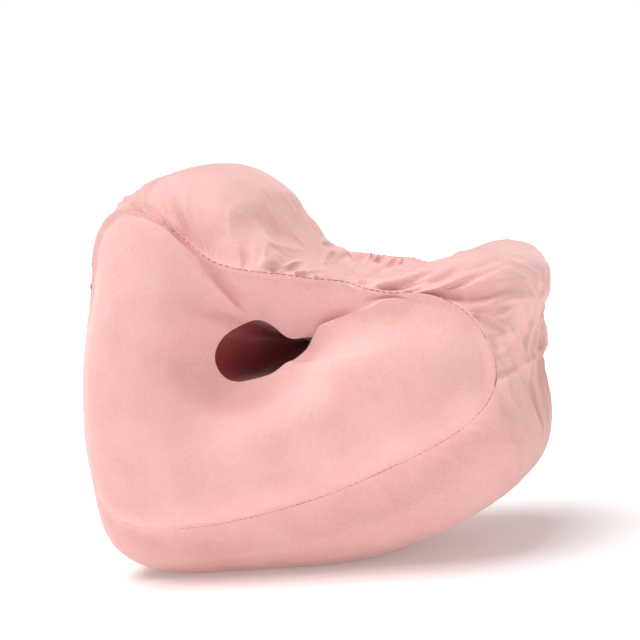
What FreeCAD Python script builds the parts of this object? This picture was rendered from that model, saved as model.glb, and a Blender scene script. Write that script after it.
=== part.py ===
import FreeCAD, Part
import math
import os

# Contoured leg pillow: a foam ring in a plush cover, with a leg channel across
# the top, a hole through the middle of both faces and a zip in the left end.
# +X runs from the tall hump to the low hump, -Y is the front face, +Z is up.
# The origin is the middle of the flat resting patch under the base.

os.makedirs("parts", exist_ok=True)

V = FreeCAD.Vector

# ---------------------------------------------------------------- dimensions
COVER = 2.0  # plush cover thickness
EASE = 0.6  # air between cover and foam
SEAM_DEPTH = 56.0  # face seams, measured from the middle plane
CROWN_POWER = 3.0  # roundness of the band from seam to seam
LOBE_BULGE = 25.0  # how far a face lobe swells beyond its seam
WALL_BULGE = 3.0  # the same for the set-back wall above the hole
RIM_DEPTH = 52.0  # hole rim at the lobes, from the middle plane
WALL_RIM_DEPTH = 43.0  # hole rim at the foot of the set-back wall
TUNNEL_HALF = (14.0, 10.0)  # half width and half height at the tunnel's waist
LOBE_START = 2.4  # the larger, the nearer the hole the lobes reach full height
WALL_ANGLES = (19.0, 108.0)  # the set-back wall, seen from the hole, degrees
FOLD_WIDTHS = (14.0, 24.0)  # how quickly the lobes rise beside the wall
CONTACT = (-31.0, 0.0)  # centre of the resting patch in outline coordinates
HOLE_CENTRE = (-6.0, 114.0)
SEAM_GAP = 0.3  # the band stops this short of each face
THREAD = 0.55  # seam thread, radius to the corners of its section
THREAD_SIDES = 8
THREAD_LIFT = 0.9  # thread centre above the bottom of the seam groove

# outline of the cover in the middle plane, anticlockwise from the base
WAIST_OUTLINE = [
    (-92, -1), (-40, -3), (12, -2.5), (36, 1), (66, 10), (101, 26), (123, 50),
    (122, 80), (119, 100), (131, 127), (133, 147), (116, 159), (96, 160), (72, 151),
    (48, 145), (25, 150), (6, 171), (-9, 199), (-27, 215), (-50, 217), (-74, 210),
    (-88, 192), (-103, 150), (-109.2, 113), (-115.4, 75), (-121.5, 38), (-115, 10),
]
# outline of the seam round each face
SEAM_OUTLINE = [
    (-72, 32), (-44, 33), (-11, 38), (24, 46), (62, 59), (94, 73), (110, 88),
    (112, 105), (107, 122), (97, 133), (82, 138), (56, 145), (29, 152), (3, 159),
    (-18, 165), (-35, 175), (-51, 190), (-64, 198), (-76, 192), (-88, 165),
    (-101, 130), (-108, 95), (-109, 62), (-99, 38),
]
# rim of the hole: a drop that narrows towards the low hump
RIM_OUTLINE = [
    (-27, 107), (-13, 106), (0, 109), (10, 115.5), (17, 121), (9, 122.5), (1, 128),
    (-8, 134), (-21, 131), (-32, 117),
]
# where the saddle band is joined to the base band: right end and left end
JOINTS = [(160.0, 88.0), (-150.0, 196.0)]

STATIONS = 60  # sections round the hole
PANEL_ROWS = 10
BAND_ROWS = 12
SLEEVE_ROWS = 8
ROOM_ROWS = 6  # rows next to a seam that give way at a sharp edge
FRONT_SEAM = PANEL_ROWS  # rows at the seams and at the hole's back rim
BACK_SEAM = FRONT_SEAM + BAND_ROWS
BACK_RIM = BACK_SEAM + PANEL_ROWS

# zip, in its own frame: x along the chain, y across it, z out of the cover
ZIP_FOOT = (-120.1, 44.9)
ZIP_HEAD = (-103.1, 147.5)
CHAIN = 104.0
WINDOW_HALF = 5.5  # half width of the slit in the band
TAPE = (1.3, 13.5)  # inner and outer edge of a tape
TAPE_TOP = -2.4
TAPE_THICK = 0.5
TEETH = (0.65, 1.7, 3.0)  # tooth tip, tooth root and outer edge
TOOTH_PITCH = 2.0
TEETH_TOP = -0.5
POCKET_FLOOR = -5.4  # foam is relieved behind the zip
SLIDER_LENGTH = 10.0
SLIDER_HALF = 4.2
SLIDER_AT = 98.5  # closed position of the slider's middle
PLATE = 1.0
PLATE_BASE = -0.2
BACK_PLATE_TOP = -3.2
POST_HALF = 0.35
PIN_RADIUS = 0.6
PIN_CLEARANCE = 0.06
PIN_X = -1.0  # pull hinge, measured from the slider's middle
PIN_Z = 2.1
LUG = (1.3, 2.0)
PULL_LENGTH = 22.0
PULL_HALF = 3.0
PULL_THICK = 0.9


def smooth_step(x):
    x = min(max(x, 0.0), 1.0)
    return x * x * (3.0 - 2.0 * x)


# ------------------------------------------------------------------ outlines
def outline_radii(points):
    """Distance from the hole's centre to a smooth closed outline, at every station."""
    curve = Part.BSplineCurve()
    curve.interpolate(Points=[V(x, 0, z) for x, z in points], PeriodicFlag=True)
    count = 1440
    step = (curve.LastParameter - curve.FirstParameter) / count
    polar = []
    for i in range(count):
        p = curve.value(curve.FirstParameter + i * step)
        dx = p.x - HOLE_CENTRE[0]
        dz = p.z - HOLE_CENTRE[1]
        polar.append((math.atan2(dz, dx) % (2 * math.pi), math.hypot(dx, dz)))
    polar.sort()
    first, last = polar[0], polar[-1]
    polar = [(last[0] - 2 * math.pi, last[1])] + polar + [(first[0] + 2 * math.pi, first[1])]
    radii = []
    k = 0
    for i in range(STATIONS):
        angle = 2 * math.pi * i / STATIONS
        while polar[k + 1][0] < angle:
            k += 1
        a0, r0 = polar[k]
        a1, r1 = polar[k + 1]
        radii.append(r0 + (r1 - r0) * (angle - a0) / (a1 - a0))
    return radii


def wall_share(angle):
    """1 inside the set-back wall above the hole, 0 in the lobes."""
    degrees = math.degrees(angle)
    rise = smooth_step((degrees - WALL_ANGLES[0] + FOLD_WIDTHS[0]) / FOLD_WIDTHS[0])
    fall = smooth_step((degrees - WALL_ANGLES[1]) / FOLD_WIDTHS[1])
    return rise * (1.0 - fall)


# ----------------------------------------------------------- one cross-section
def meridian(angle, rim, seam, waist):
    """Closed section of the cover's outside at one angle, as (radius, depth) pairs:
    front face from rim to seam, band, back face from seam to rim, tunnel."""
    a, b = TUNNEL_HALF
    throat = a * b / math.hypot(b * math.cos(angle), a * math.sin(angle))
    wall = wall_share(angle)
    bulge = LOBE_BULGE * (1 - wall) + WALL_BULGE * wall
    rim_depth = RIM_DEPTH * (1 - wall) + WALL_RIM_DEPTH * wall
    face = []
    for j in range(PANEL_ROWS + 1):
        u = math.sin(0.5 * math.pi * j / PANEL_ROWS)
        edge = (1 - u**4) ** (0.5 + 0.5 * wall)
        swell = edge * math.sin(0.5 * math.pi * min(LOBE_START * u, 1)) ** 1.2
        depth = rim_depth + (SEAM_DEPTH - rim_depth) * smooth_step(u) + bulge * swell
        face.append((rim + (seam - rim) * u, depth))
    face[-1] = (seam, SEAM_DEPTH)
    band = []
    for j in range(1, BAND_ROWS):
        v = math.sin(0.5 * math.pi * (2.0 * j / BAND_ROWS - 1))
        crown = (1 - abs(v) ** CROWN_POWER) ** (1 / CROWN_POWER)
        if waist < seam:  # hollow across the leg channel
            crown = 1 - v * v
        band.append((seam + (waist - seam) * crown, SEAM_DEPTH * v))
    tunnel = []
    for j in range(1, SLEEVE_ROWS):
        t = 1 - 2.0 * j / SLEEVE_ROWS
        radius = throat + (rim - throat) * abs(t) ** 2.4
        tunnel.append((radius, rim_depth * t))
    front = [(r, -y) for r, y in face]
    back = [(r, y) for r, y in reversed(face)]
    return front + band + back + tunnel


def rows_in_space(sections):
    """Turn the sections into rows of points that run round the hole."""
    rows = []
    for j in range(len(sections[0])):
        row = []
        for i in range(STATIONS):
            angle = 2 * math.pi * i / STATIONS
            radius, depth = sections[i][j]
            x = HOLE_CENTRE[0] + radius * math.cos(angle) - CONTACT[0]
            z = HOLE_CENTRE[1] + radius * math.sin(angle) - CONTACT[1]
            row.append(V(x, depth, z))
        rows.append(row)
    return rows


def inset_rows(rows, distance):
    """The rows moved into the pillow, square to the surface and mitred at the seams,
    and kept the same distance above the ground."""
    count = len(rows)
    moved = []
    for j in range(count):
        row = []
        for i in range(STATIONS):
            here = rows[j][i]
            around = rows[j][(i + 1) % STATIONS] - rows[j][i - 1]
            before = around.cross(here - rows[j - 1][i]).normalize()
            after = around.cross(rows[(j + 1) % count][i] - here).normalize()
            p = here + (before + after) * (distance / max(1 + before.dot(after), 0.8))
            row.append(p)
        moved.append(row)
    for seam in (FRONT_SEAM, BACK_SEAM):
        for step in (-1, 1):
            for i in range(STATIONS):
                make_room(rows, moved, seam, step, i)
    return [[V(p.x, p.y, max(p.z, distance)) for p in row] for row in moved]


def make_room(rows, moved, seam, step, i):
    """Draw the moved rows away from a moved seam that has come towards them."""
    inwards = (rows[seam + step][i] - rows[seam][i]).normalize()
    push = (moved[seam][i] - rows[seam][i]).dot(inwards)
    if push <= 0:
        return
    far = 0.0
    for k in range(1, ROOM_ROWS):
        here, last = rows[seam + k * step][i], rows[seam + (k - 1) * step][i]
        far += here.distanceToPoint(last)
        share = push * math.exp(-far / max(3 * push, 1.5))
        moved[seam + k * step][i] += (here - last).normalize() * share


# ---------------------------------------------------------------- surfaces
def ring_surface(rows, closed=False):
    """Smooth surface round the hole whose control rows are the given rows."""
    around = len(rows[0])
    across = len(rows)
    poles = [[rows[j][i] for j in range(across)] for i in range(around)]
    degree = min(3, across - 1)
    if closed:
        knots = list(range(across + 1))
        mults = [1] * len(knots)
    else:
        knots = list(range(across - degree + 1))
        mults = [degree + 1] + [1] * (len(knots) - 2) + [degree + 1]
    surface = Part.BSplineSurface()
    surface.buildFromPolesMultsKnots(
        poles, [1] * (around + 1), mults, list(range(around + 1)), knots, True, closed, 3, degree
    )
    return surface.toShape()


def solid_from(faces):
    shell = Part.makeShell(faces)
    if len(faces) > 1:
        shell.sewShape()
    solid = Part.makeSolid(shell)
    if solid.Volume < 0:
        solid.reverse()
    return solid


def skin_piece(outer, inner):
    """Ring of cover between matching rows on its outside and its inside."""
    return solid_from(
        [
            ring_surface(outer),
            ring_surface(inner),
            ring_surface([outer[0], inner[0]]),
            ring_surface([outer[-1], inner[-1]]),
        ]
    )


def eased(row, shift):
    """A seam row moved along the hole's axis, so that the band stops short of the face."""
    return [V(p.x, p.y + shift, p.z) for p in row]


def band_rows(rows):
    """Rows of the band between its two seams."""
    first = eased(rows[FRONT_SEAM], SEAM_GAP)
    last = eased(rows[BACK_SEAM], -SEAM_GAP)
    return [first] + rows[FRONT_SEAM + 1 : BACK_SEAM] + [last]


def thread_ring(sections, row, direction):
    """Seam thread lying in the groove at one row of the sections."""
    around = []
    for section in sections:
        r, y = section[row]
        centre = (r + THREAD_LIFT, y + direction * THREAD_LIFT)
        loop = []
        for k in range(THREAD_SIDES):
            turn = 2 * math.pi * k / THREAD_SIDES
            loop.append((centre[0] + THREAD * math.cos(turn), centre[1] + THREAD * math.sin(turn)))
        around.append(loop)
    rows = rows_in_space(around)
    return solid_from([ring_surface([rows[k - 1], rows[k]]) for k in range(THREAD_SIDES)])


# ------------------------------------------------------------- cover and foam
seam_radii = outline_radii(SEAM_OUTLINE)
waist_radii = outline_radii(WAIST_OUTLINE)
rim_radii = outline_radii(RIM_OUTLINE)
outside = []
for i in range(STATIONS):
    angle = 2 * math.pi * i / STATIONS
    outside.append(meridian(angle, rim_radii[i], seam_radii[i], waist_radii[i]))
outer_rows = rows_in_space(outside)
inner_rows = inset_rows(outer_rows, COVER)
foam_rows = inset_rows(outer_rows, COVER + EASE)

front_panel = skin_piece(outer_rows[: FRONT_SEAM + 1], inner_rows[: FRONT_SEAM + 1])
band = skin_piece(band_rows(outer_rows), band_rows(inner_rows))
back_panel = skin_piece(outer_rows[BACK_SEAM : BACK_RIM + 1], inner_rows[BACK_SEAM : BACK_RIM + 1])
tunnel_sleeve = skin_piece(
    outer_rows[BACK_RIM:] + outer_rows[:1], inner_rows[BACK_RIM:] + inner_rows[:1]
)
foam_core = solid_from(
    [
        ring_surface(foam_rows[: FRONT_SEAM + 1]),
        ring_surface(foam_rows[FRONT_SEAM : BACK_SEAM + 1]),
        ring_surface(foam_rows[BACK_SEAM : BACK_RIM + 1]),
        ring_surface(foam_rows[BACK_RIM:] + foam_rows[:1]),
    ]
)

# the base is pressed flat where the pillow rests
below = Part.makeBox(400, 400, 20, V(-200, -200, -20))
band = band.cut(below)

# the band is sewn from two lengths, joined at both ends of the pillow
corner_right = V(JOINTS[0][0] - CONTACT[0], -200, JOINTS[0][1])
corner_left = V(JOINTS[1][0] - CONTACT[0], -200, JOINTS[1][1])
middle = V(HOLE_CENTRE[0] - CONTACT[0], -200, HOLE_CENTRE[1])
over_right = V(corner_right.x, -200, 300)
over_left = V(corner_left.x, -200, 300)
wedge_wire = Part.makePolygon([middle, corner_right, over_right, over_left, corner_left, middle])
wedge = Part.Face(wedge_wire).extrude(V(0, 400, 0))
saddle_band = band.common(wedge)
base_band = band.cut(wedge)

# ------------------------------------------------------------------------ zip
foot = V(ZIP_FOOT[0] - CONTACT[0], 0, ZIP_FOOT[1])
head = V(ZIP_HEAD[0] - CONTACT[0], 0, ZIP_HEAD[1])
along = (head - foot).normalize()
outward = V(-along.z, 0, along.x)
zip_frame = FreeCAD.Placement(foot, FreeCAD.Rotation(along, along.cross(V(0, -1, 0)), outward, "XZY"))


def placed(shape):
    """A shape drawn in the zip's frame, set into the left end of the pillow."""
    moved = shape.copy()
    moved.Placement = zip_frame
    return moved


def box(x0, x1, y0, y1, z0, z1):
    return Part.makeBox(x1 - x0, y1 - y0, z1 - z0, V(x0, y0, z0))


def teeth_row(side):
    """Comb of teeth along the inner edge of one tape."""
    tip, root, edge = [side * y for y in TEETH]
    shift = 0.25 * TOOTH_PITCH * (1 + side)
    points = [V(0, edge, TAPE_TOP), V(0, root, TAPE_TOP)]
    for k in range(int(CHAIN / TOOTH_PITCH) - 2):
        x = 2 + shift + k * TOOTH_PITCH
        points.append(V(x, root, TAPE_TOP))
        points.append(V(x + 0.2, tip, TAPE_TOP))
        points.append(V(x + 1.0, tip, TAPE_TOP))
        points.append(V(x + 1.2, root, TAPE_TOP))
    points.append(V(CHAIN, root, TAPE_TOP))
    points.append(V(CHAIN, edge, TAPE_TOP))
    points.append(points[0])
    return Part.Face(Part.makePolygon(points)).extrude(V(0, 0, TEETH_TOP - TAPE_TOP))


def tape(side):
    y0, y1 = sorted((side * TAPE[0], side * TAPE[1]))
    return box(-6, CHAIN + 8, y0, y1, TAPE_TOP - TAPE_THICK, TAPE_TOP)


window = placed(box(-4, CHAIN + 4, -WINDOW_HALF, WINDOW_HALF, -8, 8))
pocket = placed(box(-8, CHAIN + 10, -TAPE[1] - 1, TAPE[1] + 1, POCKET_FLOOR, 8))
base_band = base_band.cut(window)
foam_core = foam_core.cut(pocket)

top_stops = []
for side in (-1, 1):
    y0, y1 = sorted((side * 0.4, side * TEETH[2]))
    top_stops.append(box(CHAIN + 0.4, CHAIN + 2.6, y0, y1, TAPE_TOP, TEETH_TOP + 0.2))
bottom_stop = box(-3.0, -0.4, -TEETH[2], TEETH[2], TAPE_TOP, TEETH_TOP)

# slider: two plates on a post that runs between the rows, with lugs for the pull
half = SLIDER_LENGTH / 2
plate = box(-half, half, -SLIDER_HALF, SLIDER_HALF, PLATE_BASE, PLATE_BASE + PLATE)
back_plate = box(
    -half, half, -SLIDER_HALF, SLIDER_HALF, BACK_PLATE_TOP - PLATE, BACK_PLATE_TOP
)
corners = [e for e in plate.Edges if abs(e.tangentAt(e.FirstParameter).z) > 0.9]
plate = plate.makeFillet(1.8, corners)
corners = [e for e in back_plate.Edges if abs(e.tangentAt(e.FirstParameter).z) > 0.9]
back_plate = back_plate.makeFillet(1.8, corners)
post = box(0.5, half - 0.6, -POST_HALF, POST_HALF, BACK_PLATE_TOP - 0.2, PLATE_BASE + 0.2)
slider = plate.fuse(back_plate).fuse(post)
for side in (-1, 1):
    y0, y1 = sorted((side * (TEETH[2] + 0.35), side * SLIDER_HALF))
    slider = slider.fuse(box(-half + 2, half - 2, y0, y1, TAPE_TOP + 0.3, PLATE_BASE + 0.2))
    y0, y1 = sorted((side * LUG[0], side * LUG[1]))
    lug = box(PIN_X - 1.4, PIN_X + 1.4, y0, y1, PLATE_BASE + PLATE - 0.2, PIN_Z)
    crest = Part.makeCylinder(1.4, y1 - y0, V(PIN_X, y0, PIN_Z), V(0, 1, 0))
    slider = slider.fuse(lug).fuse(crest)
pin_hole = Part.makeCylinder(PIN_RADIUS, 10, V(PIN_X, -5, PIN_Z), V(0, 1, 0))
slider = slider.cut(pin_hole).removeSplitter()
pin = Part.makeCylinder(PIN_RADIUS, 2 * LUG[1], V(PIN_X, -LUG[1], PIN_Z), V(0, 1, 0))

# pull: an eye on the pin, a neck and a rounded grip with a slot
neck = LUG[0] - 0.25
eye = Part.makeCylinder(1.0, 2 * neck, V(PIN_X, -neck, PIN_Z), V(0, 1, 0))
stem = box(PIN_X - 5.0, PIN_X, -neck, neck, PIN_Z - PULL_THICK / 2, PIN_Z + PULL_THICK / 2)
grip = box(
    PIN_X - PULL_LENGTH, PIN_X - 4.0, -PULL_HALF, PULL_HALF,
    PIN_Z - PULL_THICK / 2, PIN_Z + PULL_THICK / 2,
)
corners = [e for e in grip.Edges if abs(e.tangentAt(e.FirstParameter).z) > 0.9]
grip = grip.makeFillet(1.6, corners)
slot = box(PIN_X - PULL_LENGTH + 2.4, PIN_X - 9.0, -1.2, 1.2, 0, 5)
pull_hole = Part.makeCylinder(PIN_RADIUS + PIN_CLEARANCE, 10, V(PIN_X, -5, PIN_Z), V(0, 1, 0))
pull = grip.fuse(stem).fuse(eye).cut(slot).cut(pull_hole).removeSplitter()

shift = FreeCAD.Placement(V(SLIDER_AT, 0, 0), FreeCAD.Rotation())
slider.Placement = shift
pin.Placement = shift
pull.Placement = shift


def in_place(shape):
    """Move a shape that already has a placement of its own into the zip's frame."""
    moved = shape.copy()
    moved.Placement = zip_frame.multiply(shape.Placement)
    return moved


# -------------------------------------------------------------------- export
parts = {
    "foam_core": foam_core,
    "front_panel": front_panel,
    "back_panel": back_panel,
    "saddle_band": saddle_band,
    "base_band": base_band,
    "tunnel_sleeve": tunnel_sleeve,
    "seam_thread_front": thread_ring(outside, FRONT_SEAM, -1),
    "seam_thread_back": thread_ring(outside, BACK_SEAM, 1),
    "zip_tape_front": placed(tape(-1)),
    "zip_tape_back": placed(tape(1)),
    "zip_teeth_front": placed(teeth_row(-1)),
    "zip_teeth_back": placed(teeth_row(1)),
    "zip_top_stops": placed(Part.makeCompound(top_stops)),
    "zip_bottom_stop": placed(bottom_stop),
    "zip_slider": in_place(slider),
    "zip_pull_pin": in_place(pin),
    "zip_pull": in_place(pull),
}
for name, shape in parts.items():
    shape.exportStep("parts/" + name + ".step")
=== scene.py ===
import math

import bmesh
import bpy
import numpy as np
from mathutils import Matrix, Vector


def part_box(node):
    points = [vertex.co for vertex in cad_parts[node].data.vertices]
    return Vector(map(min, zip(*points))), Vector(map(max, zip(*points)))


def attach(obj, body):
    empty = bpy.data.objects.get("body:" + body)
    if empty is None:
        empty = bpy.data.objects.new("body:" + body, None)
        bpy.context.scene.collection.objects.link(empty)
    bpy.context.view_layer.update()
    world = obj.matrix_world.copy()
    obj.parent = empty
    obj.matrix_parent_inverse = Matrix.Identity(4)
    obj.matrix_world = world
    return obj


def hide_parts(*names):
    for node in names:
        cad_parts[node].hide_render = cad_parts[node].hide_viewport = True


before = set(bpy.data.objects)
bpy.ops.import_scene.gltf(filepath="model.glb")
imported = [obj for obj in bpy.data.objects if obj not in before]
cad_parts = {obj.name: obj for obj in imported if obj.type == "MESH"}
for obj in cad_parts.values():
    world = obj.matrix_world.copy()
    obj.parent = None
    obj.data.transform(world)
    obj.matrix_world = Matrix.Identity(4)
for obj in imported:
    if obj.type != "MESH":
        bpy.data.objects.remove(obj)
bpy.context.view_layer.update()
MM = 0.001
FOAM_INSET = 9.5
FOAM_FACE_INSET = 5.0
FOAM_FLOOR = 5.0
FOAM_PER_ROW = 3
FOAM_SKIP = 4
ZIP_STITCH = 8.5
ZIP_SLIT_HALF = 5.5
ZIP_SLIT_ENDS = (0.5, 3.5)  # beyond the teeth, below and above
ZIP_STITCH_ENDS = (2.0, 5.0)

# ------------------------------------------------------------------ pillow form
# Millimetres in the outline frame; the plan is later fitted to the CAD boxes.
SEAM_DEPTH = 56.0
CROWN_POWER = 3.0
LOBE_BULGE = 25.0
WALL_BULGE = 3.0
RIM_DEPTH = 52.0
WALL_RIM_DEPTH = 43.0
TUNNEL_HALF = (14.0, 10.0)
LOBE_START = 2.4
WALL_ANGLES = (19.0, 108.0)
FOLD_WIDTHS = (14.0, 24.0)
HOLE_CENTRE = (-6.0, 114.0)
JOINT_ANGLES = (351.1, 150.3)  # right end, left end

WAIST_OUTLINE = [
    (-92, -1), (-40, -3), (12, -2.5), (36, 1), (66, 10), (101, 26), (123, 50),
    (122, 80), (119, 100), (131, 127), (133, 147), (116, 159), (96, 160), (72, 151),
    (48, 145), (25, 150), (6, 171), (-9, 199), (-27, 215), (-50, 217), (-74, 210),
    (-88, 192), (-103, 150), (-109.2, 113), (-115.4, 75), (-121.5, 38), (-115, 10),
]
SEAM_OUTLINE = [
    (-72, 32), (-44, 33), (-11, 38), (24, 46), (62, 59), (94, 73), (110, 88),
    (112, 105), (107, 122), (97, 133), (82, 138), (56, 145), (29, 152), (3, 159),
    (-18, 165), (-35, 175), (-51, 190), (-64, 198), (-76, 192), (-88, 165),
    (-101, 130), (-108, 95), (-109, 62), (-99, 38),
]
RIM_OUTLINE = [
    (-27, 107), (-13, 106), (0, 109), (10, 115.5), (17, 121), (9, 122.5), (1, 128),
    (-8, 134), (-21, 131), (-32, 117),
]

# control net
STATIONS = 60
PANEL_ROWS = 10
BAND_ROWS = 12
SLEEVE_ROWS = 8

# fine grids of points, and the coarser ones that the cloth is settled on
AROUND = 720
FACE_COLUMNS = 134
BAND_COLUMNS = 189
SLEEVE_COLUMNS = 90
SIM_AROUND = 360
SIM_FACE_COLUMNS = 44
SIM_BAND_COLUMNS = 76
SIM_FRAMES = 20
CLOTH_SINK_CAP = 2.2
CLOTH_SLIDE_CAP = 2.0


def smooth_step(x):
    x = np.clip(x, 0.0, 1.0)
    return x * x * (3.0 - 2.0 * x)


def closed_curve(points, count=2880):
    """Smooth closed curve through the points, spaced by chord length."""
    p = np.array(points, float)
    n = len(p)
    h = np.linalg.norm(np.roll(p, -1, 0) - p, axis=1)
    a = np.zeros((n, n))
    b = np.zeros((n, 2))
    for i in range(n):
        h0, h1 = h[i - 1], h[i]
        a[i, i - 1] += h0
        a[i, i] += 2 * (h0 + h1)
        a[i, (i + 1) % n] += h1
        b[i] = 6 * ((p[(i + 1) % n] - p[i]) / h1 - (p[i] - p[i - 1]) / h0)
    m = np.linalg.solve(a, b)
    knots = np.concatenate([[0], np.cumsum(h)])
    t = np.linspace(0, knots[-1], count, endpoint=False)
    k = np.clip(np.searchsorted(knots, t, side="right") - 1, 0, n - 1)
    q = (k + 1) % n
    hk = h[k][:, None]
    s = (t - knots[k])[:, None]
    r = hk - s
    return (
        m[k] * r**3 / (6 * hk)
        + m[q] * s**3 / (6 * hk)
        + (p[k] / hk - m[k] * hk / 6) * r
        + (p[q] / hk - m[q] * hk / 6) * s
    )


def outline_radii(points, angles):
    """Distance from the hole's axis to a closed outline, at the given angles."""
    q = closed_curve(points) - np.array(HOLE_CENTRE)
    a = np.mod(np.arctan2(q[:, 1], q[:, 0]), 2 * np.pi)
    r = np.hypot(q[:, 0], q[:, 1])
    order = np.argsort(a)
    a, r = a[order], r[order]
    turns = np.concatenate([a - 2 * np.pi, a, a + 2 * np.pi])
    return np.interp(angles, turns, np.tile(r, 3))


def control_rows():
    """Control points of the cover, (row, station, xyz): face, band, back face, tunnel."""
    angle = 2 * np.pi * np.arange(STATIONS) / STATIONS
    degrees = np.degrees(angle)
    rim = outline_radii(RIM_OUTLINE, angle)
    seam = outline_radii(SEAM_OUTLINE, angle)
    waist = outline_radii(WAIST_OUTLINE, angle)
    a, b = TUNNEL_HALF
    throat = a * b / np.hypot(b * np.cos(angle), a * np.sin(angle))
    wall = smooth_step((degrees - WALL_ANGLES[0] + FOLD_WIDTHS[0]) / FOLD_WIDTHS[0])
    wall = wall * (1 - smooth_step((degrees - WALL_ANGLES[1]) / FOLD_WIDTHS[1]))
    bulge = LOBE_BULGE * (1 - wall) + WALL_BULGE * wall
    rim_depth = RIM_DEPTH * (1 - wall) + WALL_RIM_DEPTH * wall
    rows = []
    for j in range(PANEL_ROWS + 1):
        u = math.sin(0.5 * math.pi * j / PANEL_ROWS)
        edge = max(1 - u**4, 0.0) ** (0.5 + 0.5 * wall)
        swell = edge * math.sin(0.5 * math.pi * min(LOBE_START * u, 1)) ** 1.2
        depth = rim_depth + (SEAM_DEPTH - rim_depth) * smooth_step(u) + bulge * swell
        rows.append((rim + (seam - rim) * u, -depth))
    face = list(rows)
    for j in range(1, BAND_ROWS):
        v = math.sin(0.5 * math.pi * (2.0 * j / BAND_ROWS - 1))
        crown = (1 - abs(v) ** CROWN_POWER) ** (1 / CROWN_POWER)
        crown = np.where(waist < seam, 1 - v * v, crown)
        rows.append((seam + (waist - seam) * crown, np.full(STATIONS, SEAM_DEPTH * v)))
    for r, y in reversed(face):
        rows.append((r, -y))
    for j in range(1, SLEEVE_ROWS):
        t = 1 - 2.0 * j / SLEEVE_ROWS
        rows.append((throat + (rim - throat) * abs(t) ** 2.4, rim_depth * t))
    out = []
    for r, y in rows:
        x = HOLE_CENTRE[0] + r * np.cos(angle)
        z = HOLE_CENTRE[1] + r * np.sin(angle)
        out.append(np.stack([x, y, z], -1))
    return np.array(out)


def ring_basis(u, count):
    """Weights of a closed ring of count cubic control points at the places u."""
    w = np.zeros((len(u), count))
    k = np.floor(u).astype(int)
    t = u - k
    terms = [
        (1 - t) ** 3,
        3 * t**3 - 6 * t**2 + 4,
        -3 * t**3 + 3 * t**2 + 3 * t + 1,
        t**3,
    ]
    for offset, term in zip((-1, 0, 1, 2), terms):
        np.add.at(w, (np.arange(len(u)), (k + offset) % count), term / 6)
    return w


def across_basis(v, count):
    """Weights of count clamped cubic control points, v from 0 to 1."""
    spans = count - 3
    knots = np.concatenate([[0] * 3, np.arange(spans + 1), [spans] * 3]).astype(float)
    x = np.clip(v, 0, 1) * spans
    x = np.minimum(x, spans - 1e-9)
    w = np.zeros((len(x), len(knots) - 1))
    for i in range(len(knots) - 1):
        w[:, i] = (x >= knots[i]) & (x < knots[i + 1])
    for d in range(1, 4):
        new = np.zeros_like(w)
        for i in range(len(knots) - 1 - d):
            left = knots[i + d] - knots[i]
            right = knots[i + d + 1] - knots[i + 1]
            if left > 0:
                new[:, i] += (x - knots[i]) / left * w[:, i]
            if right > 0:
                new[:, i] += (knots[i + d + 1] - x) / right * w[:, i + 1]
        w = new
    return w[:, :count]


def patch(rows, u, v):
    """Surface points, (len(u), len(v), 3), of the given control rows."""
    around = ring_basis(u, STATIONS)
    return np.einsum("as,rsc,br->abc", around, rows, across_basis(v, len(rows)))


# ------------------------------------------------------------------ noise
HASH = (73856093, 19349663, 83492791)
NOISE_VALUES = 4096


def noise3(p, scale, seed):
    """Smooth noise in -1..1 at points p, with features about scale long."""
    table = np.random.RandomState(seed).uniform(-1, 1, NOISE_VALUES)
    q = np.asarray(p, float) / scale
    k = np.floor(q).astype(np.int64)
    t = q - k
    t = t * t * t * (t * (6 * t - 15) + 10)
    total = np.zeros(q.shape[:-1])
    for dx in (0, 1):
        for dy in (0, 1):
            for dz in (0, 1):
                h = (k[..., 0] + dx) * HASH[0]
                h = h ^ (k[..., 1] + dy) * HASH[1] ^ (k[..., 2] + dz) * HASH[2]
                w = np.where(dx, t[..., 0], 1 - t[..., 0])
                w = w * np.where(dy, t[..., 1], 1 - t[..., 1])
                w = w * np.where(dz, t[..., 2], 1 - t[..., 2])
                total += w * table[h & (NOISE_VALUES - 1)]
    return total


def noise2(x, y, seed):
    """Smooth noise in -1..1 in a plane, with features about 1 long."""
    p = np.stack([x, y, np.full_like(x, 0.37)], -1)
    return noise3(p, 1.0, seed)


# ------------------------------------------------------------------ meshes
def grid_normals(g, wrap):
    """Unit normals at the points of a grid, which may be closed around.

    On the rows of this pillow, times sign on a face, they point into the foam."""
    if wrap:
        du = np.roll(g, -1, 0) - np.roll(g, 1, 0)
    else:
        du = np.gradient(g, axis=0)
    dv = np.gradient(g, axis=1)
    n = np.cross(du, dv)
    n /= np.linalg.norm(n, axis=-1, keepdims=True) + 1e-12
    return n


def add_mesh(name, points, faces):
    """Smooth-shaded mesh object from points in millimetres."""
    mesh = bpy.data.meshes.new(name)
    mesh.from_pydata((points * MM).tolist(), [], faces)
    mesh.update()
    mesh.polygons.foreach_set("use_smooth", [True] * len(mesh.polygons))
    obj = bpy.data.objects.new(name, mesh)
    bpy.context.scene.collection.objects.link(obj)
    return obj


def add_grid(name, grid, wrap, skip=None, flip=False):
    """Mesh object from a grid of points in millimetres; skip marks quads left out."""
    nu, nv = grid.shape[:2]
    index = np.arange(nu * nv).reshape(nu, nv)
    if wrap:
        a = index
        b = np.roll(index, -1, 0)
    else:
        a = index[:-1]
        b = index[1:]
    quads = np.stack([a[:, :-1], b[:, :-1], b[:, 1:], a[:, 1:]], -1)
    if skip is not None:
        quads = quads[~skip[: quads.shape[0], : quads.shape[1]]]
    quads = quads.reshape(-1, 4)
    if flip:
        quads = quads[:, ::-1]
    return add_mesh(name, grid.reshape(-1, 3), quads.tolist())


ROWS = control_rows()
FRONT_SEAM = PANEL_ROWS
BACK_SEAM = PANEL_ROWS + BAND_ROWS
BACK_RIM = BACK_SEAM + PANEL_ROWS

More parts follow.
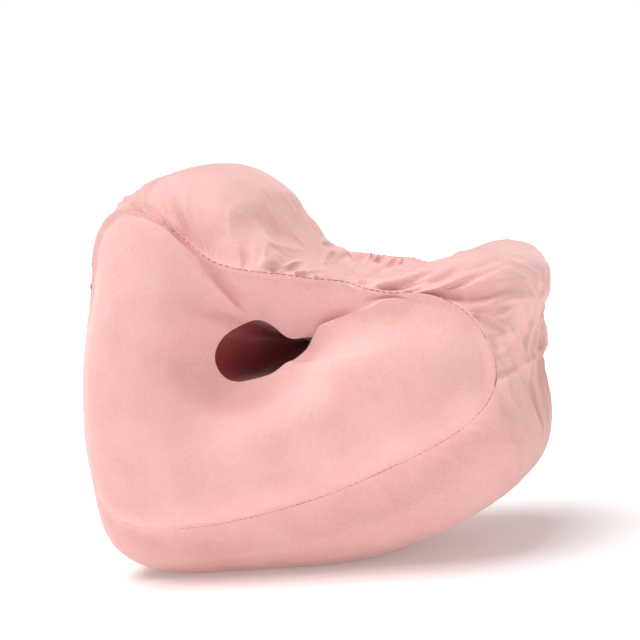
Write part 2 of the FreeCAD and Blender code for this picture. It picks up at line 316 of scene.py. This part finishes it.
# The outline frame is set onto the CAD by the middle of the front panel's box.
lo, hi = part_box("front_panel")
probe = patch(ROWS[: FRONT_SEAM + 1], np.linspace(0, STATIONS, 721)[:-1], np.linspace(0, 1, 81))
plo, phi = probe.reshape(-1, 3).min(0), probe.reshape(-1, 3).max(0)
SHIFT = np.array(
    [
        (lo[0] + hi[0]) / 2 / MM - (plo[0] + phi[0]) / 2,
        0,
        (lo[2] + hi[2]) / 2 / MM - (plo[2] + phi[2]) / 2,
    ]
)
ROWS = ROWS + SHIFT
HOLE = np.array([HOLE_CENTRE[0] + SHIFT[0], HOLE_CENTRE[1] + SHIFT[2]])

U = np.arange(AROUND) * STATIONS / AROUND
DEGREES = U * 360 / STATIONS


def seam_arc(rows):
    """Length along a seam, in millimetres, at every station."""
    p = patch(rows, U, np.array([0.0, 1.0]))[:, 0]
    step = np.linalg.norm(np.roll(p, -1, 0) - p, axis=1)
    return np.concatenate([[0], np.cumsum(step)[:-1]])


SEAM_ARC = seam_arc(ROWS[FRONT_SEAM : BACK_SEAM + 1])


def bump(degrees, centre, width):
    """Smooth hump in angle round the hole."""
    d = (degrees - centre + 180) % 360 - 180
    return np.exp(-((d / width) ** 2))


def cubic_rows(values, u, wrap):
    """Values along axis 0 read at fractional rows u, by a cubic through them."""
    n = len(values)
    k = np.floor(u).astype(int)
    t = (u - k).reshape((-1,) + (1,) * (values.ndim - 1))

    def at(i):
        return values[i % n] if wrap else values[np.clip(i, 0, n - 1)]

    a, b, c, d = at(k - 1), at(k), at(k + 1), at(k + 2)
    return b + 0.5 * t * (c - a + t * (2 * a - 5 * b + 4 * c - d + t * (3 * (b - c) + d - a)))


def sew(name, rows, u, v, growth, sign, pressure, cap, seed):
    """How far cloth held along its seams moves as it settles, in millimetres.

    growth is the extra cloth at each point (0.1 is a tenth), which gathers it
    along the seams; cap limits how far it may go along the grid's normals."""
    g = patch(rows, u, v)
    n = grid_normals(g, True) * sign
    g0 = g + n * (0.35 * noise3(g, 6, seed) * np.minimum(growth, 0.1) / 0.1)[..., None]
    obj = add_grid(name, g0, True, flip=sign < 0)
    nu, nv = g.shape[:2]
    index = np.arange(nu * nv).reshape(nu, nv)
    pins = obj.vertex_groups.new(name="seams")
    pins.add(index[:, [0, -1]].ravel().tolist(), 1.0, "REPLACE")
    extra = obj.vertex_groups.new(name="extra")
    most = float(growth.max())
    for i, w in zip(index.ravel().tolist(), (growth / most).ravel().tolist()):
        if w > 0.01:
            extra.add([i], w, "REPLACE")
    cloth = obj.modifiers.new("cloth", "CLOTH")
    c = cloth.settings
    c.quality = 5
    c.mass = 0.15
    c.tension_stiffness = 12
    c.compression_stiffness = 12
    c.shear_stiffness = 4
    c.bending_stiffness = 0.08
    c.tension_damping = 4
    c.compression_damping = 4
    c.shear_damping = 4
    c.air_damping = 2
    c.use_pressure = True
    c.uniform_pressure_force = pressure
    c.vertex_group_mass = "seams"
    c.vertex_group_shrink = "extra"
    c.shrink_min = 0.0
    c.shrink_max = -most
    c.effector_weights.gravity = 0
    cloth.collision_settings.use_collision = False
    scene = bpy.context.scene
    for f in range(1, SIM_FRAMES + 1):
        scene.frame_set(f)
    done = obj.evaluated_get(bpy.context.evaluated_depsgraph_get()).to_mesh()
    moved = np.empty(nu * nv * 3)
    done.vertices.foreach_get("co", moved)
    moved = moved.reshape(nu, nv, 3) / MM - g
    scene.frame_set(1)
    mesh = obj.data
    bpy.data.objects.remove(obj)
    bpy.data.meshes.remove(mesh)
    out = (moved * n).sum(-1, keepdims=True)
    along = moved - out * n
    far = np.linalg.norm(along, axis=-1, keepdims=True)
    along = along * np.minimum(1, CLOTH_SLIDE_CAP / np.maximum(far, 1e-6))
    sunk = CLOTH_SINK_CAP * np.tanh(out / CLOTH_SINK_CAP)
    out = np.where(out > 0, cap * np.tanh(out / cap), sunk)
    return n * out + along


def settled(name, rows, v_fine, v_coarse, growth_of, sign, pressure, cap, seed):
    """The cloth's movement at every point of the fine grid."""
    u = np.arange(SIM_AROUND) * STATIONS / SIM_AROUND
    growth = growth_of(patch(rows, u, v_coarse), u * 360 / STATIONS)
    moved = sew(name, rows, u, v_coarse, growth, sign, pressure, cap, seed)
    fine = cubic_rows(moved, np.arange(AROUND) * SIM_AROUND / AROUND, True)
    at = np.interp(v_fine, v_coarse, np.arange(len(v_coarse)))
    fine = cubic_rows(np.swapaxes(fine, 0, 1), at, False)
    return np.swapaxes(fine, 0, 1)


def reach(g):
    """Length of cloth from the first column to each point."""
    step = np.linalg.norm(np.diff(g, axis=1), axis=-1)
    return np.concatenate([np.zeros((len(g), 1)), np.cumsum(step, 1)], 1)


def face_growth(g, degrees):
    """Extra cloth in a face: eased along the seam and drawn into the hole."""
    run = reach(g)
    left = run[:, -1:] - run
    d = degrees[:, None]
    eased = 0.07 * np.exp(-left / 14) * (0.6 + 0.8 * bump(d, 25, 30))
    return eased + 0.05 * np.exp(-run / 16)


def band_growth(g, degrees):
    """Extra cloth in the band, most along the saddle's seams."""
    run = reach(g)
    near = np.minimum(run, run[:, -1:] - run)
    d = degrees[:, None]
    much = 0.05 + 0.17 * smooth_step((9 - np.abs((d - 70 + 180) % 360 - 180) + 78) / 12)
    return much * np.exp(-near / 20)


def seam_sink():
    """How far the seams are moved, and along what line, at every station.

    The normals point into the foam, so in spite of the name this raises them."""
    face = patch(ROWS[: FRONT_SEAM + 1], U, np.linspace(0, 1, FACE_COLUMNS))
    band = patch(ROWS[FRONT_SEAM : BACK_SEAM + 1], U, np.linspace(0, 1, BAND_COLUMNS))
    out = grid_normals(face, True)[:, -2] + grid_normals(band, True)[:, 1]
    out /= np.linalg.norm(out, axis=-1, keepdims=True)
    depth = 2.2 + 4.6 * bump(DEGREES, 130, 24) + 4.6 * bump(DEGREES, 12, 20)
    depth = depth + 3.2 * bump(DEGREES, 353, 8)
    return -out * depth[:, None]


SINK = seam_sink()
MIRROR = np.array([1, -1, 1])
SEAM_PINCH = 2.6
SEAM_ROLL = 7.5


def seam_pinch(distance):
    """Share of the seam's movement at a distance: sharp at the seam, soft beside it."""
    sharp = np.exp(-((distance / SEAM_PINCH) ** 2))
    soft = np.exp(-((distance / SEAM_ROLL) ** 2))
    return 0.6 * sharp + 0.4 * soft


FACE_EASE = np.sin(0.5 * np.pi * np.linspace(0, 1, FACE_COLUMNS)) ** 0.9
FACE_SIM = np.sin(0.5 * np.pi * np.linspace(0, 1, SIM_FACE_COLUMNS)) ** 0.9


def face_panel(name, rows, seed, flip, sign):
    """One face, and its edge at the hole: lobes, creased seam edge, folds into the hole."""
    v = FACE_EASE
    g = patch(rows, U, v)
    n = grid_normals(g, True) * sign
    from_rim = reach(g)
    from_seam = from_rim[:, -1:] - from_rim
    cloth = settled(name + "_cloth", rows, v, FACE_SIM, face_growth, sign, 1.0, 3.0, seed)
    arc = np.broadcast_to(SEAM_ARC[:, None], from_rim.shape)
    degrees = np.broadcast_to(DEGREES[:, None], from_rim.shape)
    # pile that lies unevenly over soft foam
    lumps = 0.9 * noise3(g, 46, seed) + 0.45 * noise3(g, 19, seed + 1)
    # small puckers where the face is eased onto the seam
    pucker = np.abs(noise2(arc / 7.5 + 0.05 * from_seam, from_seam / 26, seed + 2)) - 0.25
    eased = 0.5 + 0.9 * bump(degrees, 30, 40) + 0.8 * bump(degrees, 120, 25)
    pucker = pucker * eased * np.exp(-from_seam / 9)
    # creases drawn into the hole
    around = np.radians(degrees)
    crease = np.abs(noise2(around * 5.0, from_rim / 30, seed + 3)) - 0.25
    crease = crease * (0.7 + 1.2 * bump(degrees, 20, 25)) * np.exp(-from_rim / 13)
    crease = crease * smooth_step(from_rim / 6)
    # the folds where the lobes meet the set-back wall (minus stands out of the face)
    past = smooth_step((from_rim - 2) / 16)
    slit = 6.0 + 2.0 * np.exp(-((from_rim - 14) / 14) ** 2)
    share = from_rim / (from_rim + from_seam)
    low = WALL_ANGLES[0] - 3.0 + 2.5 * share
    high = WALL_ANGLES[1] - 1.0 + 14.0 * share
    open_end = smooth_step((from_rim + 9) / 20)
    near_seam = smooth_step((from_seam - 1) / 8)
    beside_seam = smooth_step((from_seam - 2) / 16)
    valley = -slit * bump(degrees, low, 3.4) * open_end * near_seam
    valley = valley + 4.0 * bump(degrees, low - 11, 7.5) * open_end * beside_seam
    valley = valley - 5.2 * bump(degrees, high, 4.6) * past * near_seam
    valley = valley + 3.0 * bump(degrees, high + 15, 10.0) * past * beside_seam
    # the face is drawn in where the lobes turn into the hole
    lip = 4.2 * bump(degrees, 275, 75) + 2.2 * bump(degrees, 165, 45)
    valley = valley + lip * np.exp(-(((from_rim - 14) / 10) ** 2))
    fade = smooth_step(from_seam / 3.0)
    height = lumps * fade + 1.6 * pucker * smooth_step(from_seam / 1.2)
    height = height + 1.3 * crease + valley
    sink = SINK if sign > 0 else SINK * MIRROR
    pinch = seam_pinch(from_seam)
    g = g + n * height[..., None] + cloth + sink[:, None] * pinch[..., None]
    # the hole's pointed end runs on between the lobe and the wall
    tip = np.radians(WALL_ANGLES[0] - 2)
    tip_way = np.array([np.cos(tip), 0, np.sin(tip)])
    pull = 6.5 * bump(degrees, WALL_ANGLES[0] - 2, 7.0) * np.exp(-((from_rim / 18) ** 2))
    g = g + tip_way * pull[..., None]
    rim_edge = g[:, 0].copy()
    # seam allowance turned in behind the seam
    last = g[:, -1:]
    inward = np.stack([HOLE[0] - last[..., 0], 0 * last[..., 0], HOLE[1] - last[..., 2]], -1)
    inward /= np.linalg.norm(inward, axis=-1, keepdims=True)
    tuck = [last + inward * d for d in (0.8, 2.2)]
    g = np.concatenate([g] + tuck, 1)
    return add_grid(name, g, True, flip=flip), rim_edge


front_obj, front_rim = face_panel("plush_front", ROWS[: FRONT_SEAM + 1], 11, False, 1)
back_obj, back_rim = face_panel("plush_back", ROWS[BACK_SEAM : BACK_RIM + 1][::-1], 31, True, -1)

# band between the two faces
v = np.linspace(0, 1, BAND_COLUMNS)
band_rows = ROWS[FRONT_SEAM : BACK_SEAM + 1]
g = patch(band_rows, U, v)
normal = grid_normals(g, True)
v_sim = np.linspace(0, 1, SIM_BAND_COLUMNS)
v_sim = v_sim - 0.06 * np.sin(2 * np.pi * v_sim)
cloth = settled("band_cloth", band_rows, v, v_sim, band_growth, 1, 1.2, 4.0, 51)
run = reach(g)
from_front = run
from_back = run[:, -1:] - run
near = np.minimum(from_front, from_back)
arc = np.broadcast_to(SEAM_ARC[:, None], run.shape)
degrees = np.broadcast_to(DEGREES[:, None], run.shape)
side = np.where(from_front < from_back, 0.0, 40.0)
saddle_turn = (JOINT_ANGLES[1] - JOINT_ANGLES[0]) % 360
saddle = ((degrees - JOINT_ANGLES[0]) % 360) < saddle_turn
strength = 0.5 + 1.2 * bump(degrees, 122, 26) + 1.4 * bump(degrees, 62, 38)
strength = strength + 1.3 * bump(degrees, 22, 18)
strength = strength * np.where(saddle, 1.0, 0.4)
gather = np.abs(noise2(arc / 9.5 + side + 0.02 * near, near / 40, 51))
gather = gather + 0.5 * np.abs(noise2(arc / 4.6 + side, near / 22, 52)) - 0.38
gather = gather * strength * np.exp(-near / 30)
lumps = noise3(g, 50, 53) + 0.5 * noise3(g, 21, 54)
# wrinkles that fan out from the joint in the right end
jd = (degrees - JOINT_ANGLES[0] + 180) % 360 - 180
fan = np.abs(noise2(jd * 0.2 + near * 0.07 + side, near / 40 + jd / 60, 55)) - 0.25
fan = fan * np.exp(-((jd / 22) ** 2))
joint = -1.3 * np.exp(-((jd / 0.9) ** 2))
jl = (degrees - JOINT_ANGLES[1] + 180) % 360 - 180
joint = joint - np.exp(-((jl / 0.9) ** 2))
fade = smooth_step(near / 3.0)
floor_fade = smooth_step((g[..., 2] - 2.0) / 14.0)
height = (lumps * fade + 5.6 * gather * fade + 4.2 * fan * fade + joint) * floor_fade
pinch_front = seam_pinch(from_front)[..., None]
pinch_back = seam_pinch(from_back)[..., None]
g = g + normal * height[..., None] + cloth * floor_fade[..., None]
g = g + SINK[:, None] * pinch_front + (SINK * MIRROR)[:, None] * pinch_back
g[..., 2] = np.maximum(g[..., 2], 0.25)

# split at the joints: each band keeps a shared edge column
order = np.arange(AROUND)
start = int(np.searchsorted(DEGREES, JOINT_ANGLES[0]))
stop = int(np.searchsorted(DEGREES, JOINT_ANGLES[1]))
saddle_cols = np.concatenate([order[start:], order[: stop + 1]])
base_cols = order[stop : start + 1]
saddle_obj = add_grid("plush_saddle", g[saddle_cols], False)

# slit for the zip in the left end of the base band
tape_lo, tape_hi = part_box("zip_teeth_front")
base = g[base_cols]
zlo, zhi = tape_lo[2] / MM, tape_hi[2] / MM
mid = 0.25 * (base[:-1, :-1] + base[1:, :-1] + base[1:, 1:] + base[:-1, 1:])
slit = (mid[..., 2] > zlo - ZIP_SLIT_ENDS[0]) & (mid[..., 2] < zhi + ZIP_SLIT_ENDS[1])
slit = slit & (mid[..., 0] < 0) & (np.abs(mid[..., 1]) < ZIP_SLIT_HALF)
base_obj = add_grid("plush_base", base, False, skip=slit)

# sleeve through the hole, its ends on the faces' rims, squeezed shut by the foam
sleeve_rows = np.concatenate([ROWS[BACK_RIM:], ROWS[:1]])
vs = np.linspace(0, 1, SLEEVE_COLUMNS)
s = patch(sleeve_rows, U, vs)
ns = grid_normals(s, True)
deep = smooth_step(np.minimum(vs, 1 - vs) / 0.12)[None]
squeeze = 1 - 0.75 * np.sin(np.pi * vs) ** 2
axis = np.array([HOLE[0], 0, HOLE[1]])
s = axis + (s - axis) * np.stack([squeeze, np.ones_like(vs), squeeze], -1)[None]
s = s + np.array([10.0, 0, 2.0]) * (np.sin(np.pi * vs) ** 2)[None, :, None]
s = s + ns * (0.8 * noise3(s, 12, 71) * deep)[..., None]
ends = ((back_rim - s[:, 0], vs), (front_rim - s[:, -1], 1 - vs))
for shift, t in ends:
    s = s + shift[:, None] * np.exp(-((t / 0.12) ** 2))[None, :, None]
sleeve_obj = add_grid("plush_sleeve", s, True)


# foam body, a little inside the cover
def inset_rows(rows, distance):
    """The rows moved into the pillow, square to the surface."""
    along = np.roll(rows, -1, 1) - np.roll(rows, 1, 1)
    before = np.cross(along, rows - np.roll(rows, 1, 0))
    after = np.cross(along, np.roll(rows, -1, 0) - rows)
    before /= np.linalg.norm(before, axis=-1, keepdims=True)
    after /= np.linalg.norm(after, axis=-1, keepdims=True)
    spread = np.maximum(1 + (before * after).sum(-1, keepdims=True), 1.2)
    return rows + (before + after) * (distance / spread)


foam_rows = inset_rows(ROWS, FOAM_INSET)
foam_rows[..., 1] *= 1 - FOAM_FACE_INSET / np.abs(foam_rows[..., 1]).max()
foam_rows[..., 2] = np.maximum(foam_rows[..., 2], FOAM_FLOOR)


# the rows are closed across as well as around, with FOAM_PER_ROW points to a row
weights = ring_basis(np.arange(len(foam_rows) * FOAM_PER_ROW) / FOAM_PER_ROW, len(foam_rows))
weights = np.concatenate([weights, weights[:1]])
foam_around = ring_basis(U[::FOAM_SKIP], STATIONS)
foam_grid = np.einsum("as,rsc,br->abc", foam_around, foam_rows, weights)
foam_obj = add_grid("foam_block", foam_grid, True)


def close_seam(obj):
    """Join the first and last column of a closed ring."""
    b = bmesh.new()
    b.from_mesh(obj.data)
    bmesh.ops.remove_doubles(b, verts=b.verts, dist=1e-6)
    b.to_mesh(obj.data)
    b.free()


close_seam(foam_obj)


# ------------------------------------------------------------------ sewing
# pitch, length and half thickness of a stitch
SEAM_STITCH = (3.4, 2.5, 0.34)
TOP_STITCH = (3.0, 2.2, 0.28)
STITCH_LIFT = 0.15


def stitch_run(name, path, outward, pitch, long, thick):
    """Stitches laid along a line of points: short rounded threads, end to end."""
    path = np.asarray(path)
    step = np.linalg.norm(np.diff(path, axis=0), axis=1)
    at = np.concatenate([[0], np.cumsum(step)])
    verts, faces = [], []
    rings, sides = 5, 6
    for s0 in np.arange(0.5, at[-1] - long, pitch):
        t = s0 + long * np.linspace(0, 1, rings)
        c = np.stack([np.interp(t, at, path[:, k]) for k in range(3)], -1)
        o = np.stack([np.interp(t, at, outward[:, k]) for k in range(3)], -1)
        d = c[-1] - c[0]
        d = d / np.linalg.norm(d)
        side = np.cross(d, o)
        side /= np.linalg.norm(side, axis=-1, keepdims=True)
        up = np.cross(side, d)
        lift = np.sin(np.pi * np.linspace(0, 1, rings))
        first = len(verts)
        for i in range(rings):
            size = thick * (0.35 + 0.65 * lift[i] ** 0.5)
            middle = c[i] + up[i] * thick * (lift[i] - 0.4)
            for k in range(sides):
                turn = 2 * math.pi * k / sides
                verts.append(middle + size * (math.cos(turn) * side[i] + math.sin(turn) * up[i]))
        for i in range(rings - 1):
            for k in range(sides):
                a0 = first + i * sides + k
                a1 = first + i * sides + (k + 1) % sides
                faces.append((a0, a1, a1 + sides, a0 + sides))
        faces.append(tuple(first + k for k in reversed(range(sides))))
        faces.append(tuple(first + (rings - 1) * sides + k for k in range(sides)))
    return add_mesh(name, np.array(verts), faces)


band = g
seam_front = np.concatenate([band[:, 0], band[:1, 0]])
seam_back = np.concatenate([band[:, -1], band[:1, -1]])
out_front = np.concatenate([-SINK, -SINK[:1]])
unit_front = out_front / np.linalg.norm(out_front, axis=-1, keepdims=True)
stitches_front = stitch_run("stitches_front", seam_front, unit_front, *SEAM_STITCH)
stitches_back = stitch_run("stitches_back", seam_back, unit_front * MIRROR, *SEAM_STITCH)

# rows of stitching across the band at both joints, beside the fold
joint_runs = []
band_normal = grid_normals(band, True)
for name, column in (("right", start), ("left", stop)):
    for tag, off in (("upper", 3), ("lower", -3)):
        keep = (column + (off if name == "right" else -off)) % AROUND
        outward = band_normal[keep, 3:-3]
        line = band[keep, 3:-3] + STITCH_LIFT * outward
        run_name = f"stitches_joint_{name}_{tag}"
        joint_runs.append(stitch_run(run_name, line, outward, *TOP_STITCH))

# stitching that holds the zip, either side of the slit
zip_runs = []
base_normal = band_normal[base_cols]
across = base[len(base) // 4, :, 1]
middle = base[:, BAND_COLUMNS // 2]
beside_zip = (middle[:, 2] > zlo - ZIP_STITCH_ENDS[0]) & (middle[:, 2] < zhi + ZIP_STITCH_ENDS[1])
where = np.nonzero(beside_zip & (middle[:, 0] < 0))[0]
for tag, side in (("front", -1), ("back", 1)):
    column = int(np.argmin(np.abs(across - side * ZIP_STITCH)))
    outward = base_normal[where, column]
    line = base[where, column] + STITCH_LIFT * outward
    zip_runs.append(stitch_run(f"zip_stitching_{tag}", line, outward, *TOP_STITCH))


def edge_roll(name, path, outward, size):
    """Rounded hem: a closed tube of cloth along a closed line of points."""
    n = len(path)
    ahead = np.roll(path, -1, 0) - np.roll(path, 1, 0)
    ahead /= np.linalg.norm(ahead, axis=-1, keepdims=True)
    side = np.cross(ahead, outward)
    side /= np.linalg.norm(side, axis=-1, keepdims=True)
    up = np.cross(side, ahead)
    turn = (2 * np.pi * np.arange(10) / 10)[None, :, None]
    tube = path[:, None] + size * (np.cos(turn) * side[:, None] + np.sin(turn) * up[:, None])
    tube = np.concatenate([tube, tube[:, :1]], 1)
    obj = add_grid(name, tube, True)
    close_seam(obj)
    return obj


# hem round the slit
slit_rows = np.nonzero(slit.any(1))[0]
slit_cols = np.nonzero(slit.any(0))[0]
r0, r1, c0, c1 = slit_rows[0], slit_rows[-1] + 1, slit_cols[0], slit_cols[-1] + 1
rim_index = [(i, c0) for i in range(r0, r1)] + [(r1, j) for j in range(c0, c1)]
rim_index += [(i, c1) for i in range(r1, r0, -1)] + [(r0, j) for j in range(c1, c0, -1)]
rim_line = np.array([base[i, j] for i, j in rim_index])
rim_out = np.array([base_normal[i, j] for i, j in rim_index])
# the hem stands out of the cover, most across the lower end, where the pull hangs
above_end = rim_line[:, 2:] - rim_line[:, 2].min()
hem_depth = 0.5 + 1.6 * np.exp(-((above_end / 2.5) ** 2))
hem_obj = edge_roll("zip_hem", rim_line - hem_depth * rim_out, rim_out, 0.9)


# ------------------------------------------------------------------ materials
def new_material(name):
    """Empty material with its node tree and its shader."""
    m = bpy.data.materials.new(name)
    m.use_nodes = True
    t = m.node_tree
    t.nodes.clear()
    out = t.nodes.new("ShaderNodeOutputMaterial")
    shader = t.nodes.new("ShaderNodeBsdfPrincipled")
    t.links.new(shader.outputs[0], out.inputs[0])
    return m, t, shader


def noise_node(t, coord, scale, detail=2.0, rough=0.5):
    n = t.nodes.new("ShaderNodeTexNoise")
    n.inputs["Scale"].default_value = scale
    n.inputs["Detail"].default_value = detail
    n.inputs["Roughness"].default_value = rough
    t.links.new(coord, n.inputs["Vector"])
    return n


def plush_material(name, light, dark):
    """Soft pile: blotched colour, sheen, and a fine uneven surface."""
    m, t, shader = new_material(name)
    coord = t.nodes.new("ShaderNodeTexCoord").outputs["Object"]
    blotch = noise_node(t, coord, 38.0, 3.0)
    fibre = noise_node(t, coord, 900.0, 2.0, 0.7)
    mix = t.nodes.new("ShaderNodeMix")
    mix.data_type = "RGBA"
    mix.inputs["A"].default_value = (*dark, 1)
    mix.inputs["B"].default_value = (*light, 1)
    add = t.nodes.new("ShaderNodeMath")
    add.operation = "ADD"
    t.links.new(blotch.outputs["Fac"], add.inputs[0])
    t.links.new(fibre.outputs["Fac"], add.inputs[1])
    ramp = t.nodes.new("ShaderNodeMapRange")
    ramp.inputs["From Min"].default_value = 0.7
    ramp.inputs["From Max"].default_value = 1.3
    t.links.new(add.outputs[0], ramp.inputs["Value"])
    t.links.new(ramp.outputs[0], mix.inputs["Factor"])
    t.links.new(mix.outputs["Result"], shader.inputs["Base Color"])
    shader.inputs["Roughness"].default_value = 0.95
    shader.inputs["Specular IOR Level"].default_value = 0.15
    shader.inputs["Sheen Weight"].default_value = 0.5
    shader.inputs["Sheen Roughness"].default_value = 0.5
    shader.inputs["Sheen Tint"].default_value = (1.0, 0.86, 0.84, 1)
    tuft = noise_node(t, coord, 420.0, 3.0, 0.65)
    b1 = t.nodes.new("ShaderNodeBump")
    b1.inputs["Strength"].default_value = 0.35
    b1.inputs["Distance"].default_value = 0.0012
    t.links.new(tuft.outputs["Fac"], b1.inputs["Height"])
    t.links.new(b1.outputs["Normal"], shader.inputs["Normal"])
    return m


def plain_material(name, colour, rough, metal=0.0):
    """One colour with a slightly uneven roughness."""
    m, t, shader = new_material(name)
    coord = t.nodes.new("ShaderNodeTexCoord").outputs["Object"]
    n = noise_node(t, coord, 600.0)
    ramp = t.nodes.new("ShaderNodeMapRange")
    ramp.inputs["To Min"].default_value = rough - 0.08
    ramp.inputs["To Max"].default_value = rough + 0.08
    t.links.new(n.outputs["Fac"], ramp.inputs["Value"])
    t.links.new(ramp.outputs[0], shader.inputs["Roughness"])
    shader.inputs["Base Color"].default_value = (*colour, 1)
    shader.inputs["Metallic"].default_value = metal
    return m


PLUSH = plush_material("plush", (0.87, 0.52, 0.49), (0.79, 0.42, 0.395))
# painted shade: the sleeve's pile is coloured near-black red to stand for the shade deep in the
# hole; the lining is the same pink plush as the faces
SLEEVE_PAINTED_SHADE = plush_material("plush_inside_painted_shade", (0.25, 0.024, 0.028), (0.17, 0.012, 0.016))
FOAM = plain_material("foam", (0.85, 0.8, 0.65), 0.9)
THREAD = plain_material("thread", (0.5, 0.17, 0.165), 0.7)
TAPE = plain_material("zip_tape", (0.8, 0.45, 0.43), 0.8)
TEETH = plain_material("zip_teeth", (0.8, 0.44, 0.42), 0.4)
METAL = plain_material("zip_metal", (0.75, 0.75, 0.77), 0.28, 1.0)


def dress(obj, material):
    """The object's one material."""
    obj.data.materials.clear()
    obj.data.materials.append(material)


for obj, node, material in (
    (front_obj, "front_panel", PLUSH),
    (back_obj, "back_panel", PLUSH),
    (saddle_obj, "saddle_band", PLUSH),
    (base_obj, "base_band", PLUSH),
    (sleeve_obj, "tunnel_sleeve", SLEEVE_PAINTED_SHADE),
):
    dress(obj, material)
    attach(obj, "pillow")
    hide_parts(node)
dress(foam_obj, FOAM)
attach(foam_obj, "pillow")
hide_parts("foam_core")

for obj, node in ((stitches_front, "seam_thread_front"), (stitches_back, "seam_thread_back")):
    dress(obj, THREAD)
    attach(obj, "pillow")
    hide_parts(node)
for obj in joint_runs + zip_runs:
    dress(obj, THREAD)
    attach(obj, "pillow")
dress(hem_obj, PLUSH)
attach(hem_obj, "pillow")
for node, material in (
    ("seam_thread_front", THREAD),
    ("seam_thread_back", THREAD),
    ("zip_tape_front", TAPE),
    ("zip_tape_back", TAPE),
    ("zip_teeth_front", TEETH),
    ("zip_teeth_back", TEETH),
    ("zip_top_stops", METAL),
    ("zip_bottom_stop", METAL),
    ("zip_slider", METAL),
    ("zip_pull_pin", METAL),
    ("zip_pull", METAL),
):
    dress(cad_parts[node], material)

# ------------------------------------------------------------------ stage
floor_mesh = bpy.data.meshes.new("floor")
floor_mesh.from_pydata([(-6, -6, 0), (6, -6, 0), (6, 6, 0), (-6, 6, 0)], [], [(0, 1, 2, 3)])
floor = bpy.data.objects.new("floor", floor_mesh)
bpy.context.scene.collection.objects.link(floor)
white, _, floor_shader = new_material("floor_white")
floor_shader.inputs["Base Color"].default_value = (0.95, 0.95, 0.95, 1)
floor_shader.inputs["Roughness"].default_value = 0.6
floor_shader.inputs["Emission Color"].default_value = (1, 1, 1, 1)
floor_shader.inputs["Emission Strength"].default_value = 0.14
dress(floor, white)

world = bpy.data.worlds.new("studio")
bpy.context.scene.world = world
world.use_nodes = True
# brighter near the horizon than overhead
sky_tree = world.node_tree
sky = sky_tree.nodes["Background"]
direction = sky_tree.nodes.new("ShaderNodeTexCoord")
parts = sky_tree.nodes.new("ShaderNodeSeparateXYZ")
sky_tree.links.new(direction.outputs["Generated"], parts.inputs[0])
lift = sky_tree.nodes.new("ShaderNodeMapRange")
lift.interpolation_type = "SMOOTHSTEP"
lift.inputs["From Min"].default_value = 0.16
lift.inputs["From Max"].default_value = 0.3
lift.inputs["To Min"].default_value = 1.05
lift.inputs["To Max"].default_value = 0.3
sky_tree.links.new(parts.outputs["Z"], lift.inputs["Value"])
sky.inputs["Color"].default_value = (1, 1, 1, 1)
sky_tree.links.new(lift.outputs[0], sky.inputs["Strength"])
bpy.context.scene.view_settings.view_transform = "Standard"

sun_data = bpy.data.lights.new("overhead", "SUN")
sun_data.energy = 3.0
sun_data.angle = math.radians(48)
sun = bpy.data.objects.new("overhead", sun_data)
sun.rotation_euler = (math.radians(8), math.radians(-13), 0)
bpy.context.scene.collection.objects.link(sun)

# camera: in front, a little to the right and above, rolled as the view is
IMAGE_SIZE = 640
VIEW_CENTRE = (312.3, 380)  # where the aim point falls in the picture
SENSOR = 36.0
camera_data = bpy.data.cameras.new("camera")
camera = bpy.data.objects.new("camera", camera_data)
bpy.context.scene.collection.objects.link(camera)
bpy.context.scene.camera = camera
YAW, ELEVATION, ROLL = math.radians(20.7), math.radians(7.4), math.radians(-7.9)
DISTANCE = 0.9
PIXELS_PER_MM = 1.85
aim = Vector((0.031, 0, 0.095))
away = Vector(
    (
        -math.sin(YAW) * math.cos(ELEVATION),
        math.cos(YAW) * math.cos(ELEVATION),
        -math.sin(ELEVATION),
    )
)
camera.location = aim - away * DISTANCE
right = Vector((math.cos(YAW), math.sin(YAW), 0))
up = right.cross(away)
r = right * math.cos(ROLL) + up * math.sin(ROLL)
u = -right * math.sin(ROLL) + up * math.cos(ROLL)
m = Matrix((r, u, -away)).transposed().to_4x4()
m.translation = camera.location
camera.matrix_world = m
camera_data.sensor_width = SENSOR
camera_data.lens = SENSOR * PIXELS_PER_MM * DISTANCE * 1000 / IMAGE_SIZE
camera_data.shift_x = -(VIEW_CENTRE[0] - IMAGE_SIZE / 2) / IMAGE_SIZE
camera_data.shift_y = (VIEW_CENTRE[1] - IMAGE_SIZE / 2) / IMAGE_SIZE
camera_data.clip_start = 0.01
